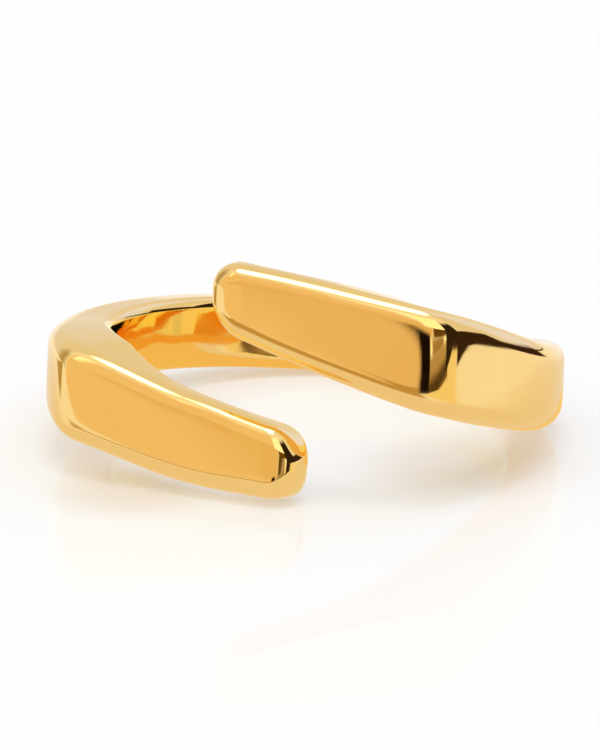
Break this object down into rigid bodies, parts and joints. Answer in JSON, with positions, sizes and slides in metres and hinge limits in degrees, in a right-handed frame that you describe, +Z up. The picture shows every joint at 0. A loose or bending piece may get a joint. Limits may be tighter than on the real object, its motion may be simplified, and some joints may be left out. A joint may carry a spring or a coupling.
{
  "type": "open cuff ring",
  "caption": "Polished gold-tone finger ring, open at the front, where flat tapering arms with rounded tips pass one above the other.",
  "frame": {"origin": "middle of the underside of the bounding box, on the surface that the ring lies on", "axes": "+Z up from that surface, -Y towards the ring's open front, +X towards its right shoulder; the finger hole leans back from +Z"},
  "size_m": [0.0222, 0.022, 0.0097],
  "materials": {
    "gold": "mirror-polished gold plate"
  },
  "bodies": {
    "root": {"cuff_band": "gold"}
  },
  "joints": []
}
